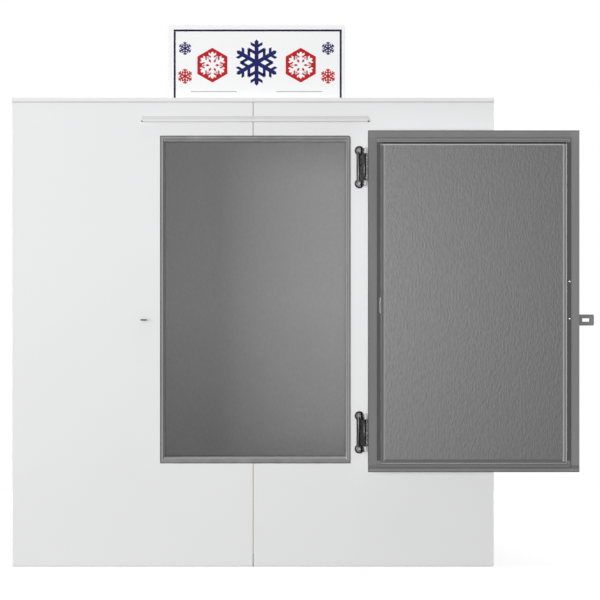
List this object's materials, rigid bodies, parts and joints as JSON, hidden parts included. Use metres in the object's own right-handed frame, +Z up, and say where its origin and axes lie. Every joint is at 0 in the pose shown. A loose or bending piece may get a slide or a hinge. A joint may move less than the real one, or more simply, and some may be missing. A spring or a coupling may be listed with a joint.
{
  "type": "ice merchandiser freezer",
  "caption": "Free-standing outdoor cold-wall ice merchandiser with an insulated cabinet, a hinged plug door, a sign panel on the roof and a condensing unit in the rear bay.",
  "frame": {"origin": "on the floor under the middle of the cabinet", "axes": "+X to the right as seen from the front, -Y towards the front, +Z up; the door is stored swung fully open"},
  "size_m": [2.2015, 1.3107, 2.057],
  "materials": {
    "white_paint": "satin",
    "stucco_liner": "satin",
    "foam": "matte",
    "grey_trim": "satin",
    "zinc_steel": "satin",
    "dark_chrome": "polished",
    "bright_chrome": "polished",
    "black_plastic": "satin",
    "copper": "satin",
    "black_paint": "satin",
    "grey_paint": "satin",
    "gasket_rubber": "matte",
    "sign_face": "satin",
    "rack_wood": "matte",
    "white_plastic": "satin",
    "fin_aluminium": "satin"
  },
  "bodies": {
    "cabinet": {"base_frame": "black_paint", "base_pan": "zinc_steel", "floor_foam": "foam", "bulkhead_foam": "foam", "deck_foam": "foam", "side_foam_left": "foam", "side_foam_right": "foam", "back_foam": "foam", "roof_foam": "foam", "front_foam_left": "foam", "front_foam_right": "foam", "front_foam_head": "foam", "front_foam_sill": "foam", "front_skin_left": "white_paint", "front_skin_right": "white_paint", "side_skin_left": "white_paint", "side_skin_right": "white_paint", "back_skin": "white_paint", "roof_pan": "white_paint", "side_liners": "stucco_liner", "front_liner": "stucco_liner", "back_liner": "stucco_liner", "roof_liner": "stucco_liner", "floor_liner": "stucco_liner", "step_liner": "stucco_liner", "bay_liner": "zinc_steel", "jamb_frame": "grey_trim", "rain_gutter": "white_paint", "sign_panel": "sign_face", "sign_brackets": "zinc_steel", "hinge_brackets": "dark_chrome", "hinge_pins": "bright_chrome", "hinge_screws": "bright_chrome", "hinge_backers": "zinc_steel", "staple": "zinc_steel", "floor_rack": "rack_wood", "drain_fitting": "white_plastic", "evaporator_tube": "copper", "unit_plate": "grey_paint", "compressor": "black_paint", "condenser": "fin_aluminium", "fan_shroud": "black_plastic", "fan_motor": "grey_paint", "filter_drier": "copper", "refrigerant_lines": "copper", "control_box": "zinc_steel", "rear_grille": "white_paint", "cord_gland": "black_plastic"},
    "door": {"door_skin": "white_paint", "door_foam": "foam", "door_frame": "grey_trim", "door_liner": "stucco_liner", "door_gasket": "gasket_rubber", "door_leaves": "dark_chrome", "handle": "bright_chrome", "hasp": "zinc_steel", "door_screws": "bright_chrome"},
    "fan": {"fan_blade": "white_plastic"},
    "knob": {"control_knob": "black_plastic"},
    "plug": {"drain_plug": "gasket_rubber"}
  },
  "joints": [
    {"name": "door_swing", "type": "hinge", "parent": "cabinet", "child": "door", "pos_m": [0.4205, -0.6495, 1.007], "axis": [0, 0, -1], "range_deg": [0, 180]},
    {"name": "fan_spin", "type": "hinge", "parent": "cabinet", "child": "fan", "pos_m": [0.175, 0.4735, 0.166], "axis": [0, 1, 0], "continuous": true},
    {"name": "thermostat_turn", "type": "hinge", "parent": "cabinet", "child": "knob", "pos_m": [-0.535, 0.6, 0.171], "axis": [0, -1, 0], "range_deg": [0, 300]},
    {"name": "plug_lift", "type": "slide", "parent": "cabinet", "child": "plug", "axis": [0, 0, 1], "range_m": [0, 0.06]}
  ]
}
